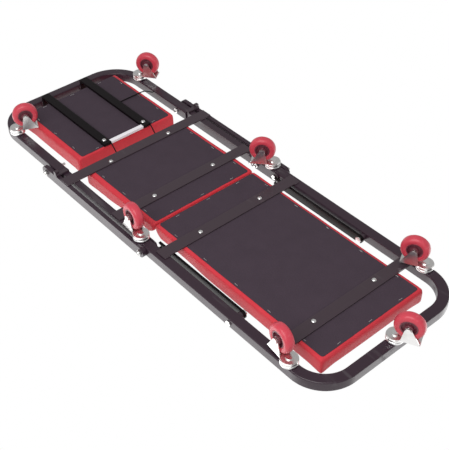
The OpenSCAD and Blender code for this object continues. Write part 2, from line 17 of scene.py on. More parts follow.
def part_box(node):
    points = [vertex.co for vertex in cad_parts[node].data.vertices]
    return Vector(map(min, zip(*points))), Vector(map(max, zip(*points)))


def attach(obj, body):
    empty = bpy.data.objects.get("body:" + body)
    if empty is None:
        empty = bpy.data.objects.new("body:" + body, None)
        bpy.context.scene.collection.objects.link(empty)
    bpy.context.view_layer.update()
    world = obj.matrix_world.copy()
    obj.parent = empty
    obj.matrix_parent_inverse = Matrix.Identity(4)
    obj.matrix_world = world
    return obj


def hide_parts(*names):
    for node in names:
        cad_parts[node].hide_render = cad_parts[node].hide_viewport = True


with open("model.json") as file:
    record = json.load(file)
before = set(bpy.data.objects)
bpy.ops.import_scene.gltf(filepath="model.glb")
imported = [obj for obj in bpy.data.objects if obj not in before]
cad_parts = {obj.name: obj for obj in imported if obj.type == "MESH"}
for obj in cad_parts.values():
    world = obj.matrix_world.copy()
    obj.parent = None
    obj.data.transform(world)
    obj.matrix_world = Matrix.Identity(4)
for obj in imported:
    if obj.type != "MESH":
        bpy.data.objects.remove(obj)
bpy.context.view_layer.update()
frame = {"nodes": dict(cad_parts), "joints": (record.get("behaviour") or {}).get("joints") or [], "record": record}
MM = 0.001
Z_AXIS = Vector((0, 0, 1))

# %% [markdown]
# ## The camera
#
# The photograph was taken from well above one corner with a moderate telephoto, so the long rails still
# draw together a little towards the head. The angles below came from fitting a pinhole camera to the
# frame's corners, the cross bars and the casters. A roll of nearly 180 degrees turns the view the way up
# that the photograph has.

# %% Camera at the photograph's viewing angle
camera_target = Vector((0.0207, -0.005, 0.1298))
camera_azimuth = math.radians(39.68)
camera_elevation = math.radians(-41.3)
camera_roll = math.radians(178.86)
camera_distance = 2.1195
focal_px = 912.9
image_px = 449
sensor_mm = 36

camera_data = bpy.data.cameras.new("camera")
camera_data.sensor_width = sensor_mm
camera_data.lens = focal_px / image_px * sensor_mm
camera = bpy.data.objects.new("camera", camera_data)
bpy.context.scene.collection.objects.link(camera)
camera_back = Vector((
    math.cos(camera_elevation) * math.cos(camera_azimuth),
    math.cos(camera_elevation) * math.sin(camera_azimuth),
    math.sin(camera_elevation),
))
camera.rotation_mode = "QUATERNION"
turn = (-camera_back).to_track_quat("-Z", "Y").to_matrix()
camera.rotation_quaternion = (Matrix.Rotation(camera_roll, 3, camera_back) @ turn).to_quaternion()
camera.location = camera_target + camera_back * camera_distance
bpy.context.scene.camera = camera
bpy.context.scene.view_settings.view_transform = "Standard"
print("lens", round(camera_data.lens, 1), "mm")

# %% [markdown]
# ## Shader sums in plain Python
#
# A material is a graph of small nodes. Wrapping each socket in a class with the usual operators lets us
# write `0.3 + 0.1 * spots` and have the Math nodes made for us. All other nodes come from one method,
# `node`.


# %% Sockets that can be added and multiplied
class Socket:
    """One output of a shader node, in the finish that it belongs to."""

    def __init__(self, finish, socket):
        self.finish = finish
        self.socket = socket

    def math(self, operation, first, second):
        sockets = {0: first, 1: second}
        return self.finish.node("ShaderNodeMath", {"operation": operation}, sockets)

    def __add__(self, other):
        return self.math("ADD", self, other)

    __radd__ = __add__

    def __mul__(self, other):
        return self.math("MULTIPLY", self, other)

    __rmul__ = __mul__

    def __sub__(self, other):
        return self.math("SUBTRACT", self, other)

    def __rsub__(self, other):
        return self.math("SUBTRACT", other, self)


class Finish:
    """A material under construction. Its place is the point on the object, in metres."""

    def __init__(self, name):
        self.material = bpy.data.materials.new(name)
        self.material.use_nodes = True
        self.tree = self.material.node_tree
        self.tree.nodes.clear()
        self.place = self.node("ShaderNodeTexCoord", output="Object")

    def node(self, kind, settings=None, sockets=None, output=0):
        node = self.tree.nodes.new(kind)
        for key, value in (settings or {}).items():
            setattr(node, key, value)
        for key, value in (sockets or {}).items():
            if isinstance(value, Socket):
                self.tree.links.new(value.socket, node.inputs[key])
            else:
                node.inputs[key].default_value = value
        return Socket(self, node.outputs[output]) if node.outputs else None

    def noise(self, size_mm, detail=2, stretch=(1, 1, 1)):
        """Soft noise from 0 to 1, whose blobs are about size_mm across, longer where stretch is over 1."""
        scale = [1 / (size_mm * MM * s) for s in stretch]
        place = self.node("ShaderNodeMapping", {}, {"Vector": self.place, "Scale": scale})
        return self.node("ShaderNodeTexNoise", {}, {"Vector": place, "Scale": 1, "Detail": detail})

    def band(self, value, low, high):
        """0 below low, 1 above high, and smooth between them."""
        sockets = {"Value": value, "From Min": low, "From Max": high}
        return self.node("ShaderNodeMapRange", {"interpolation_type": "SMOOTHSTEP"}, sockets)

    def mix(self, share, first, second):
        """A colour between two colours, each given as three numbers or a socket."""
        colours = {6: first, 7: second}
        for key, value in colours.items():
            if not isinstance(value, Socket):
                colours[key] = (*value, 1)
        return self.node("ShaderNodeMix", {"data_type": "RGBA"}, {0: share, **colours}, output=2)

    def bump(self, height, depth_mm, strength=1.0):
        sockets = {"Height": height, "Distance": depth_mm * MM, "Strength": strength}
        return self.node("ShaderNodeBump", {}, sockets)

    def principled(self, **sockets):
        """Ends the graph. Underscores in names stand for the spaces in the shader's own socket names."""
        named = {key.replace("_", " "): value for key, value in sockets.items()}
        colour = named["Base Color"]
        if not isinstance(colour, Socket):
            named["Base Color"] = (*colour, 1)
        shader = self.node("ShaderNodeBsdfPrincipled", {}, named)
        self.node("ShaderNodeOutputMaterial", {}, {"Surface": shader})
        return self.material


print("shader helpers ready")

# %% [markdown]
# ## Paint, vinyl, cloth and zinc
#
# The tube is black powder coat: fairly glossy, with a fine orange-peel skin and faint scuffs. Its darker,
# duller copy on the pad bars and props is painted shade. The pads are red grained vinyl, whose creases are
# painted darker as painted shade, and their undersides are covered with charcoal dust cloth. The casters have
# red polyurethane treads on plastic hubs, whose dark maroon is partly their own colour and partly painted
# shade, and zinc-plated forks. Each pattern is worked out from the place on the object, at its real size in
# millimetres, so it needs no picture and no unwrapping.


# %% Black powder coat
def powder_coat(name, dark, scuffed, specular=0.5):
    f = Finish(name)
    peel = f.noise(2.2, detail=1)
    grit = f.noise(0.5, detail=1)
    cloud = f.noise(60, detail=3)
    rub = f.band(f.noise(26, detail=6, stretch=(6, 1, 1)), 0.62, 0.74)
    return f.principled(
        Base_Color=f.mix(0.5 * rub, dark, scuffed),
        Roughness=0.24 + 0.14 * cloud + 0.2 * rub,
        Specular_IOR_Level=specular,
        Normal=f.bump(peel + 0.1 * grit, 0.05, 0.35),
    )


frame_paint = powder_coat("frame_paint", (0.032, 0.015, 0.026), (0.09, 0.076, 0.085))
bar_paint = powder_coat("bar_paint", (0.049, 0.031, 0.041), (0.11, 0.092, 0.1))
# The third coat is a darker, duller copy of the black one. It is painted shade, given to the pad bars and props
# because they lie in shade, and the wires take it too.
painted_shade_coat = powder_coat("painted_shade_coat", (0.004, 0.002, 0.003), (0.02, 0.016, 0.018), specular=0.15)
print("paint:", frame_paint.name, bar_paint.name, painted_shade_coat.name)


# %% Red vinyl
def vinyl():
    f = Finish("vinyl")
    cell = {"Vector": f.place, "Scale": 1 / (1.5 * MM), "Randomness": 0.9}
    creases = f.node("ShaderNodeTexVoronoi", {"feature": "DISTANCE_TO_EDGE"}, cell)
    grain = f.band(creases, 0.0, 0.16)
    pores = f.noise(0.45, detail=2)
    cloud = f.noise(45, detail=3)
    handled = f.band(f.noise(110, detail=4), 0.4, 0.7)
    red = f.mix(cloud, (0.62, 0.034, 0.05), (0.74, 0.06, 0.08))
    return f.principled(
        # The creases of the grain are painted darker red: painted shade.
        Base_Color=f.mix(0.25 * (1 - grain), red, (0.42, 0.025, 0.035)),
        Roughness=0.46 + 0.12 * cloud - 0.06 * handled,
        Specular_IOR_Level=0.18,
        Normal=f.bump(grain + 0.3 * pores, 0.09, 0.5),
    )


red_vinyl = vinyl()
print("vinyl:", red_vinyl.name)


# %% Charcoal dust cloth
def dust_cloth():
    f = Finish("dust_cloth")
    fibres = f.noise(0.9, detail=4, stretch=(3, 1, 1))
    crossed = f.noise(0.9, detail=4, stretch=(1, 3, 1))
    felt = 0.5 * fibres + 0.5 * crossed
    patch = f.noise(35, detail=4)
    rumple = f.noise(40, detail=2)
    tone = f.band(felt, 0.35, 0.65) * 0.6 + 0.4 * patch
    return f.principled(
        Base_Color=f.mix(tone, (0.038, 0.025, 0.036), (0.071, 0.048, 0.067)),
        Roughness=0.82 + 0.15 * felt,
        Specular_IOR_Level=0.35,
        Normal=f.bump(felt + 3 * rumple, 0.25, 0.5),
    )


black_cloth = dust_cloth()
print("cloth:", black_cloth.name)


# %% Polyurethane tread, plastic hub and white strap
def moulded(name, colour, worn, roughness, peel_mm):
    f = Finish(name)
    cloud = f.noise(18, detail=3)
    dust = f.band(f.noise(7, detail=5), 0.52, 0.72)
    return f.principled(
        Base_Color=f.mix(0.35 * dust, colour, worn),
        Roughness=roughness + 0.1 * cloud + 0.12 * dust,
        Normal=f.bump(f.noise(peel_mm, detail=2), 0.05, 0.5),
    )


tread_red = moulded("tread_red", (0.64, 0.055, 0.085), (0.74, 0.14, 0.17), 0.28, 1.6)
# The hubs' dark maroon is partly the plastic's own colour and partly painted shade, as dark as their faces in
# shade.
hub_with_painted_shade = moulded("hub_with_painted_shade", (0.15, 0.03, 0.045), (0.22, 0.07, 0.085), 0.34, 1.1)
strap_white = moulded("strap_white", (0.93, 0.9, 0.94), (0.84, 0.82, 0.84), 0.3, 1.1)
print("mouldings:", tread_red.name, hub_with_painted_shade.name, strap_white.name)


# %% Zinc plate
def zinc(name, bright, dull, roughness):
    f = Finish(name)
    bloom = f.noise(24, detail=2)
    grain = f.noise(1.6, detail=2, stretch=(1, 1, 4))
    stain = f.band(bloom, 0.45, 0.75)
    return f.principled(
        Base_Color=f.mix(0.5 * stain, bright, dull),
        Metallic=1.0,
        Roughness=roughness + 0.08 * stain + 0.05 * grain,
        Normal=f.bump(grain, 0.01, 0.3),
    )


fork_zinc = zinc("fork_zinc", (0.88, 0.87, 0.86), (0.76, 0.75, 0.72), 0.27)
bright_zinc = zinc("bright_zinc", (0.94, 0.94, 0.93), (0.86, 0.86, 0.84), 0.22)
finish_of_slot = {
    "black_frame": frame_paint, "grey_frame": frame_paint, "black_bar": bar_paint, "board": black_cloth,
    "vinyl": red_vinyl, "white_zinc": bright_zinc, "zinc": fork_zinc, "chrome": bright_zinc,
    "tread": tread_red, "hub": hub_with_painted_shade,
}
# The pad bars and props take the darker coat, which is painted shade.
finish_of_node = {
    "pad_bar_left": painted_shade_coat, "pad_bar_right": painted_shade_coat, "prop_left": painted_shade_coat,
    "prop_right": painted_shade_coat, "pad_strap": strap_white,
}
print("finishes:", len(finish_of_slot))

# %% [markdown]
# ## Floor and light
#
# The creeper stands on a pale floor, but our camera is under it. So the floor is painted on its upper side
# only: rays that meet it from below pass through, and so do all rays but the camera's, which lets the light
# from below reach the object. The world is white to the camera, a softer white to everything else, and dim
# in reflections from below, which keeps the undersides of black tubes black. Soft lamps give the form: a
# low one beside the camera, a high one whose reflection runs along the rails' near faces, and a weak one
# from the far side.


# %% A floor that shows from above only
def floor_finish():
    f = Finish("floor_paint")
    back = f.node("ShaderNodeNewGeometry", output="Backfacing")
    seen = f.node("ShaderNodeLightPath", output="Is Camera Ray")
    pale = f.node("ShaderNodeBsdfDiffuse", {}, {"Color": (0.86, 0.86, 0.855, 1)})
    clear = f.node("ShaderNodeBsdfTransparent")
    shown = f.node("ShaderNodeMixShader", {}, {0: seen * (1 - back), 1: clear, 2: pale})
    f.node("ShaderNodeOutputMaterial", {}, {"Surface": shown})
    return f.material


floor_radius = 9.0
floor_drop = 0.3 * MM
bm = bmesh.new()
bmesh.ops.create_circle(bm, cap_ends=True, radius=floor_radius, segments=96)
bmesh.ops.translate(bm, verts=bm.verts, vec=(0, 0, -floor_drop))
floor_mesh = bpy.data.meshes.new("floor")
bm.to_mesh(floor_mesh)
bm.free()
floor = bpy.data.objects.new("floor", floor_mesh)
floor_mesh.materials.append(floor_finish())
bpy.context.scene.collection.objects.link(floor)
print("floor normal", tuple(floor_mesh.polygons[0].normal))

# %% White world, dimmer below for reflections
ambient = 0.5
dim_below = 0.4
dim_band = 0.25
world = bpy.data.worlds.new("studio")
world.use_nodes = True
bpy.context.scene.world = world
tree = world.node_tree
tree.nodes.clear()


def world_node(kind, sockets, settings=None, output=0):
    """One node of the world's graph. A value may be another node's output."""
    node = tree.nodes.new(kind)
    for key, value in (settings or {}).items():
        setattr(node, key, value)
    for key, value in sockets.items():
        if isinstance(value, bpy.types.NodeSocket):
            tree.links.new(value, node.inputs[key])
        else:
            node.inputs[key].default_value = value
    return node.outputs[output] if node.outputs else None


rays = tree.nodes.new("ShaderNodeLightPath").outputs
upward = world_node(
    "ShaderNodeSeparateXYZ", {"Vector": tree.nodes.new("ShaderNodeTexCoord").outputs["Generated"]}, output=2
)
reflected = world_node("ShaderNodeMapRange", {
    "Value": upward, "From Min": -dim_band, "From Max": dim_band, "To Min": dim_below, "To Max": 1.0,
})
indirect = world_node(
    "ShaderNodeMix", {0: rays["Is Glossy Ray"], 2: ambient, 3: reflected}, {"data_type": "FLOAT"}
)
level = world_node("ShaderNodeMix", {0: rays["Is Camera Ray"], 2: indirect, 3: 1.0}, {"data_type": "FLOAT"})
backdrop = world_node("ShaderNodeBackground", {"Color": (1, 1, 1, 1), "Strength": level})
world_node("ShaderNodeOutputWorld", {"Surface": backdrop})
print("ambient", ambient, "below", dim_below)


# %% Three soft lamps
def softbox(name, place, size, power):
    """Square lamp that faces the middle of the object."""
    data = bpy.data.lights.new(name, "AREA")
    data.shape = "SQUARE"
    data.size = size
    data.energy = power
    lamp = bpy.data.objects.new(name, data)
    bpy.context.scene.collection.objects.link(lamp)
    lamp.location = place
    lamp.rotation_mode = "QUATERNION"
    lamp.rotation_quaternion = (camera_target - Vector(place)).to_track_quat("-Z", "Y")


softbox("low_softbox", place=(0.7, 1.5, -1.9), size=2.2, power=46)
softbox("high_softbox", place=(-1.35, 1.25, 1.7), size=2.4, power=22)
softbox("far_softbox", place=(1.2, -1.9, 1.6), size=2.0, power=16)

# %% [markdown]
# ## From mesh to piece
#
# Each piece made here is one object at the origin, with its place in its mesh. It rides on the body that
# moves it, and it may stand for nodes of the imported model, which are then hidden. Pressed and folded steel
# never has knife edges, so most small parts are copies of their node with every sharp edge eased by a
# narrow bevel.

# %% Where each node belongs
record = frame["record"]
body_of_node = {n: body for body, nodes in record["behaviour"]["bodies"].items() for n in nodes}
slot_of_node = {part["node"]: part["material_slot"] for part in record["subparts"]}
joint_named = {joint["name"]: joint for joint in frame["joints"]}
print("joints:", len(joint_named))


# %% Make a piece
def make_piece(name, bm, body, slot, nodes=(), smooth_angle=35):
    """Turns a bmesh into a piece that rides on a body, with the finish of its node or else of its slot."""
    mesh = bpy.data.meshes.new(name)
    bm.to_mesh(mesh)
    bm.free()
    piece = bpy.data.objects.new(name, mesh)
    bpy.context.scene.collection.objects.link(piece)
    own = [finish_of_node[node] for node in nodes if node in finish_of_node]
    mesh.materials.append(own[0] if own else finish_of_slot[slot])
    mesh.shade_smooth()
    mesh.set_sharp_from_angle(angle=math.radians(smooth_angle))
    weighted = piece.modifiers.new("weighted", "WEIGHTED_NORMAL")
    weighted.keep_sharp = True
    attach(piece, body)
    if nodes:
        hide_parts(*nodes)
    return piece


# %% Ease the edges of a copy of a node
seam_reach = 0.002 * MM
flat_angle = math.radians(1)


def ease(bm, edges, width_mm, segments):
    bmesh.ops.bevel(
        bm, geom=edges, offset=width_mm * MM, affect="EDGES", segments=segments, profile=0.5, material=-1,
        clamp_overlap=True,
    )


def sharp_edges(bm, edge_angle=32):
    return [e for e in bm.edges if e.is_manifold and e.calc_face_angle() > math.radians(edge_angle)]


def cleaned(node):
    """Copy of a node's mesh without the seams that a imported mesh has."""
    bm = bmesh.new()
    bm.from_mesh(frame["nodes"][node].data)
    bmesh.ops.remove_doubles(bm, verts=bm.verts, dist=seam_reach)
    bmesh.ops.dissolve_limit(bm, angle_limit=flat_angle, verts=bm.verts, edges=bm.edges)
    return bm


def eased(node, width_mm=0.5, segments=2):
    """Copy of a node with its sharp edges rounded."""
    bm = cleaned(node)
    ease(bm, sharp_edges(bm), width_mm, segments)
    return make_piece(node + "_shown", bm, body_of_node[node], slot_of_node[node], [node])


plain_bars = [
    "knee_bar", "foot_bar", "back_bar", "seat_bar", "pad_bar_left", "pad_bar_right", "pad_strap", "prop_left",
    "prop_right", "stop_blocks", "prop_spacers",
]
for node in plain_bars:
    eased(node, width_mm=0.7)
fasteners = ["foot_bolts", "mid_bolts", "pad_screws", "prop_bolts", "fold_bolts", "head_bolts"]
for node in fasteners:
    eased(node, width_mm=0.35)
print("eased", len(plain_bars), "bars and", len(fasteners), "sets of fasteners")

# %% [markdown]
# ## Bent square tube
#
# The two U-shaped frames are square tube with rounded corners, bent round a former. A sweep is the natural
# way to make one: draw the section, extrude it along the straight rail, and spin it round each bend. Only
# the outer skin shows.


# %% Section of a square tube
def tube_section(bm, centre, width, depth, corner):
    """Closed loop of edges across X: a rectangle with round corners."""
    stand = Matrix.Translation(centre) @ Matrix.Rotation(math.radians(90), 4, "Y")
    made = bmesh.ops.create_grid(bm, x_segments=1, y_segments=1, size=0.5, matrix=stand)
    for v in made["verts"]:
        v.co.y = centre.y + (v.co.y - centre.y) * width
        v.co.z = centre.z + (v.co.z - centre.z) * depth
    bmesh.ops.bevel(
        bm, geom=made["verts"], offset=corner, affect="VERTICES", segments=4, profile=0.5, material=-1
    )
    bmesh.ops.delete(bm, geom=bm.faces[:], context="FACES_ONLY")
    return bm.edges[:]


def push(bm, loop, step):
    """Extrudes a loop of edges and returns its far end."""
    made = bmesh.ops.extrude_edge_only(bm, edges=loop)["geom"]
    ends = {g for g in made if isinstance(g, bmesh.types.BMVert)}
    bmesh.ops.translate(bm, verts=list(ends), vec=step)
    return [g for g in made if isinstance(g, bmesh.types.BMEdge) and set(g.verts) <= ends]


def bend(bm, loop, centre, angle, steps=18):
    """Spins a loop of edges about an upright axis and returns its far end."""
    made = bmesh.ops.spin(
        bm, geom=loop, cent=centre, axis=Z_AXIS, angle=angle, steps=steps, use_duplicate=False
    )
    return [g for g in made["geom_last"] if isinstance(g, bmesh.types.BMEdge)]


# %% The two bent frames
tube_corner = 3.2 * MM
end_ease = 0.8 * MM


def bent_frame(node, bend_radius, open_end):
    """U of square tube. open_end is -1 where its open end points along -X, and 1 the other way."""
    low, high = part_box(node)
    tube = high.z - low.z
    start_x, end_x = (low.x, high.x) if open_end < 0 else (high.x, low.x)
    ahead = math.copysign(1, end_x - start_x)
    rail_y = high.y - tube / 2
    bend_x = end_x - ahead * bend_radius
    turn_y = high.y - bend_radius
    mid_z = (low.z + high.z) / 2
    bm = bmesh.new()
    first = tube_section(bm, Vector((start_x, rail_y, mid_z)), tube, tube, tube_corner)
    loop = push(bm, first, (bend_x - start_x, 0, 0))
    quarter = -ahead * math.pi / 2
    loop = bend(bm, loop, Vector((bend_x, turn_y, mid_z)), quarter)
    loop = push(bm, loop, (0, -2 * turn_y, 0))
    loop = bend(bm, loop, Vector((bend_x, -turn_y, mid_z)), quarter)
    last = push(bm, loop, (start_x - bend_x, 0, 0))
    bmesh.ops.contextual_create(bm, geom=first)
    bmesh.ops.contextual_create(bm, geom=last)
    bmesh.ops.recalc_face_normals(bm, faces=bm.faces)
    rims = [e for e in bm.edges if all(abs(v.co.x - start_x) < end_ease for v in e.verts)]
    bmesh.ops.bevel(bm, geom=rims, offset=end_ease, affect="EDGES", segments=2, profile=0.5, material=-1)
    return make_piece(node + "_tube", bm, body_of_node[node], slot_of_node[node], [node])


foot_tube = bent_frame("foot_frame", bend_radius=88 * MM, open_end=-1)
head_tube = bent_frame("head_frame", bend_radius=100 * MM, open_end=1)
print("bent frames:", len(foot_tube.data.polygons), "and", len(head_tube.data.polygons), "faces")

# %% [markdown]
# ## Middle section's bars
#
# The long bars beside the frame are flat tube with round ends, and the shorter rails between the stubs are
# square tube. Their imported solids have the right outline, so it is enough to give the long edges a rounder
# bevel.

# %% Long bars and rails
for node in ["side_bar_left", "side_bar_right", "mid_rail_left", "mid_rail_right"]:
    eased(node, width_mm=1.4, segments=3)
print("bars of the middle section eased")

# %% [markdown]
# ## Upholstered pads
#
# Each pad is foam on a hardboard panel, with red vinyl pulled round it and stapled underneath. Its sides
# are nearly upright, its upper edge has a small roll and its top is slightly crowned. Only the two ends
# that meet where the creeper folds curve back from low down, or they would jam. A block with that outline
# comes first. It is remeshed evenly and then blown up a little as cloth whose underside is held, which
# gives the taut, slightly uneven skin of real upholstery. Pleats at the corners and the pull of the staples
# are pressed in afterwards, because the remesh would smooth them away. Last, the foam is drawn up taller,
# except near the fold, and the outer ends of the foot and head pads a little outwards, because the
# photograph shows thick, full sides.

# %% Start shape of a pad
pad_corner = 5 * MM
pad_shrink = 0.7 * MM
cloth_lift = 0.6 * MM
small_roll, fold_roll = 3 * MM, 33 * MM
side_share, edge_share = 0.3, 0.96
tucks = ((0.8 * MM, 0, 0.5), (0.2 * MM, 1.2 * MM, 0.3), (0, 4 * MM, 0.1))
crown_shares = (0.25, 0.6, 1)
roll_step = 10


def edge_inset(rise, height, soft):
    """How far a pad's edge is set back at a height. A soft edge curves back from low on its side."""
    edge = edge_share * height
    depth = edge - side_share * height if soft else small_roll
    share = min(1, max(0, 1 + (rise - edge) / depth))
    return (fold_roll if soft else small_roll) * (1 - math.sqrt(1 - share ** 2))


def pad_rings(half_y, height, softs, bulge):
    """Rings from the underside up, as (sides' inset, low end's inset, high end's inset, rise)."""
    rings = [(tuck + bulge * share, tuck, tuck, rise) for tuck, rise, share in tucks]
    side, edge = side_share * height, edge_share * height
    for angle in range(0, 91, roll_step):
        rise = side + (edge - side) * math.sin(math.radians(angle))
        ends = [edge_inset(rise, height, soft) for soft in softs]
        rings.append((edge_inset(rise, height, False), *ends, rise))
    last = rings[-1]
    for share in crown_shares:
        reach = (half_y - 2 * fold_roll) * share
        rise = edge + (height - edge) * (1 - (1 - share) ** 2)
        rings.append((*(inset + reach for inset in last[:3]), rise))
    return rings


def pad_block(low, high, softs, bulge):
    """Closed block with the pad's outline between low and high, whose long sides bulge a little."""
    centre = (low + high) / 2
    half_x, half_y = (high.x - low.x) / 2 - pad_shrink, (high.y - low.y) / 2 - pad_shrink + bulge
    rings = pad_rings(half_y, high.z - low.z - pad_shrink, softs, bulge)
    bm = bmesh.new()
    bottom = low.z + cloth_lift
    stand = Matrix.Translation((centre.x, centre.y, bottom))
    made = bmesh.ops.create_grid(bm, x_segments=1, y_segments=1, size=1, matrix=stand)
    for v in made["verts"]:
        v.co.x = centre.x + math.copysign(half_x - rings[0][1], v.co.x - centre.x)
        v.co.y = centre.y + math.copysign(half_y - rings[0][0], v.co.y - centre.y)
    bmesh.ops.bevel(
        bm, geom=made["verts"], offset=pad_corner, affect="VERTICES", segments=5, profile=0.5, material=-1
    )
    bmesh.ops.delete(bm, geom=bm.faces[:], context="FACES_ONLY")
    first = loop = bm.edges[:]
    for old, new in zip(rings, rings[1:]):
        loop = push(bm, loop, (0, 0, new[3] - old[3]))
        for v in {v for e in loop for v in e.verts}:
            v.co.x += new[1] - old[1] if v.co.x < centre.x else old[2] - new[2]
            v.co.y += new[0] - old[0] if v.co.y < centre.y else old[0] - new[0]
    bmesh.ops.contextual_create(bm, geom=first)
    bmesh.ops.contextual_create(bm, geom=loop)
    bmesh.ops.recalc_face_normals(bm, faces=bm.faces)
    return bm


print("fold's roll", round(fold_roll / MM), "mm, other edges", round(small_roll / MM), "mm")

# %% Remesh and inflate
voxel = 4.6 * MM
pressure = 4.0
swell_cap = 6 * MM
sim_frames = 20
held_height = 3 * MM
foam_give = 0.12
least_move = 0.001 * MM


def apply_modifiers(piece):
    """Replaces the piece's mesh with what its modifiers make of it."""
    graph = bpy.context.evaluated_depsgraph_get()
    done = bpy.data.meshes.new_from_object(piece.evaluated_get(graph), depsgraph=graph)
    piece.modifiers.clear()
    piece.data = done


def remesh(piece):
    modifier = piece.modifiers.new("remesh", "REMESH")
    modifier.mode = "VOXEL"
    modifier.voxel_size = voxel
    apply_modifiers(piece)


def inflate(piece, bottom, centre):
    """Blows the piece up as cloth held at its underside, over foam that hardly lets its skin move in."""
    start = [v.co.copy() for v in piece.data.vertices]
    held = piece.vertex_groups.new(name="held")
    held.add([i for i, co in enumerate(start) if co.z < bottom + held_height], 1.0, "REPLACE")
    cloth = piece.modifiers.new("cloth", "CLOTH")
    cloth.settings.quality = 5
    cloth.settings.mass = 0.3
    cloth.settings.use_pressure = True
    cloth.settings.uniform_pressure_force = pressure
    cloth.settings.vertex_group_mass = held.name
    cloth.settings.effector_weights.gravity = 0
    cloth.collision_settings.use_collision = False
    cloth.point_cache.frame_end = sim_frames
    for number in range(1, sim_frames + 1):
        bpy.context.scene.frame_set(number)
    apply_modifiers(piece)
    bpy.context.scene.frame_set(1)
    piece.vertex_groups.clear()
    for v, co in zip(piece.data.vertices, start):
        move = v.co - co
        for axis in range(3):
            if move[axis] * (co[axis] - centre[axis]) < 0:
                move[axis] *= foam_give
        v.co = co + move * min(1, swell_cap / max(move.length, least_move))


print("voxel", voxel / MM, "mm, cap", swell_cap / MM, "mm")

# %% Tucks, pleats and the pull of the staples
staple_pitch = 96 * MM
pull_depth = 0.5 * MM
pull_low, pull_height = 1 * MM, 9 * MM
pleat_reach = 15 * MM
pleat_depth = 0.8 * MM
pleat_low, pleat_height = 2 * MM, 20 * MM
pleats_in_corner = 2
side_draw = 0.8 * MM
draw_reach = 30 * MM
wander, wander_waves = 0.35 * MM, 22
wander_low, wander_full = 4 * MM, 12 * MM
give = 2.5 * MM
flat_run, swell_run = 100 * MM, 190 * MM
end_bulge, end_run = 3.5 * MM, 70 * MM


def fade(value, start, end):
    """1 at start and before it, 0 at end and past it."""
    share = min(1, max(0, (value - start) / (end - start)))
    return 1 - share * share * (3 - 2 * share)


def held_below(value, limit):
    """The value, bent over smoothly so that it never passes the limit."""
    past = value - (limit - give)
    return value if past <= 0 else limit - give * math.exp(-past / give)


def dress_skin(piece, low, high, softs, swell, bulge, free_end):
    """Presses tucks and pleats into the skin, holds it near the pad's own space, then draws the foam up."""
    centre = (low + high) / 2
    half = (high - low) / 2
    for v in piece.data.vertices:
        x, y, rise = v.co.x - centre.x, v.co.y - centre.y, v.co.z - low.z
        u, w = x / half.x, y / half.y
        near_x, near_y = fade(half.x - abs(x), 0, draw_reach), fade(half.y - abs(y), 0, draw_reach)
        v.co.y -= math.copysign(side_draw * near_y * (1 - u ** 4), y)
        v.co.x -= math.copysign(side_draw * near_x * (1 - w ** 4), x)
        corner = Vector((abs(x) - half.x + pleat_reach, abs(y) - half.y + pleat_reach))
        if corner.x > 0 and corner.y > 0:
            angle = math.atan2(corner.y, corner.x)
            fold = abs(math.sin(angle * 2 * pleats_in_corner)) ** 3
            depth = pleat_depth * fold * fade(rise, pleat_low, pleat_height)
            out = Vector((math.copysign(corner.x, x), math.copysign(corner.y, y), 0)).normalized()
            v.co -= out * depth
        else:
            along = x if near_y > near_x else y
            pull = 0.5 + 0.5 * math.cos(2 * math.pi * along / staple_pitch)
            depth = pull_depth * pull * fade(rise, pull_low, pull_height) * max(near_x, near_y)
            if near_y > near_x:
                v.co.y -= math.copysign(depth, y)
            else:
                v.co.x -= math.copysign(depth, x)
        v.co.z += wander * noise.noise(v.co * wander_waves) * fade(-rise, -wander_full, -wander_low)
        v.co.z = max(low.z, held_below(v.co.z, high.z))
        for axis, limit in enumerate((half.x, half.y + bulge)):
            away = held_below(abs(v.co[axis] - centre[axis]), limit)
            v.co[axis] = centre[axis] + math.copysign(away, v.co[axis] - centre[axis])
        ends = [end for end, soft in zip((v.co.x - low.x, high.x - v.co.x), softs) if soft]
        taller = 1 - fade(min(ends), flat_run, swell_run) if ends else 1
        v.co.z += swell * taller * (v.co.z - low.z) / (high.z - low.z)
        v.co.x += (
            free_end * end_bulge * fade(half.x - free_end * x, 0, end_run) * (1 - fade(rise, 0, pull_height))
        )


def pad(node, name, softs, swell, bulge, free_end):
    """Padded piece in place of a cushion's solid.

    softs says whether its low end and its high end roll back to fold. swell is how much taller than the solid
    the foam stands, and bulge how far each long side stands out. free_end is 1 to draw the high end out a
    little, -1 to draw the low end out, and 0 for neither.
    """
    low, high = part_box(node)
    block = pad_block(low, high, softs, bulge)
    piece = make_piece(name, block, body_of_node[node], "vinyl", [node], smooth_angle=80)
    piece.modifiers.clear()
    remesh(piece)
    inflate(piece, low.z, (low + high) / 2)
    dress_skin(piece, low, high, softs, swell, bulge, free_end)
    piece.modifiers.new("finer", "SUBSURF").levels = 1
    piece.modifiers["finer"].render_levels = 1
    apply_modifiers(piece)
    piece.data.shade_smooth()
    print(name, len(piece.data.polygons), "faces")


pad("foot_cushion", "foot_pad", softs=(True, False), swell=7 * MM, bulge=5 * MM, free_end=1)
pad("mid_cushion", "middle_pad", softs=(False, True), swell=10 * MM, bulge=8 * MM, free_end=0)
pad("head_cushion", "head_pad", softs=(False, False), swell=15 * MM, bulge=8 * MM, free_end=-1)

# %% [markdown]
# ## Dust cloth and staples
#
# A charcoal dust cloth covers the underside of each pad's board, so only a narrow edge of vinyl shows round
# it. It is one thin sheet with round corners, cut by hand, and a gun put a staple through it every ten
# centimetres or so.

# %% Dust cloth over each board
cloth_thick = 1.2 * MM
cloth_corner = 6 * MM
cloth_lap = 1.2 * MM
cloth_ease = 0.35 * MM
cut_wander, cut_waves = 0.5 * MM, 60
cut_seed = 1
rim_cuts = 24
# noise_vector starts from the clock unless it is seeded.
noise.seed_set(cut_seed)


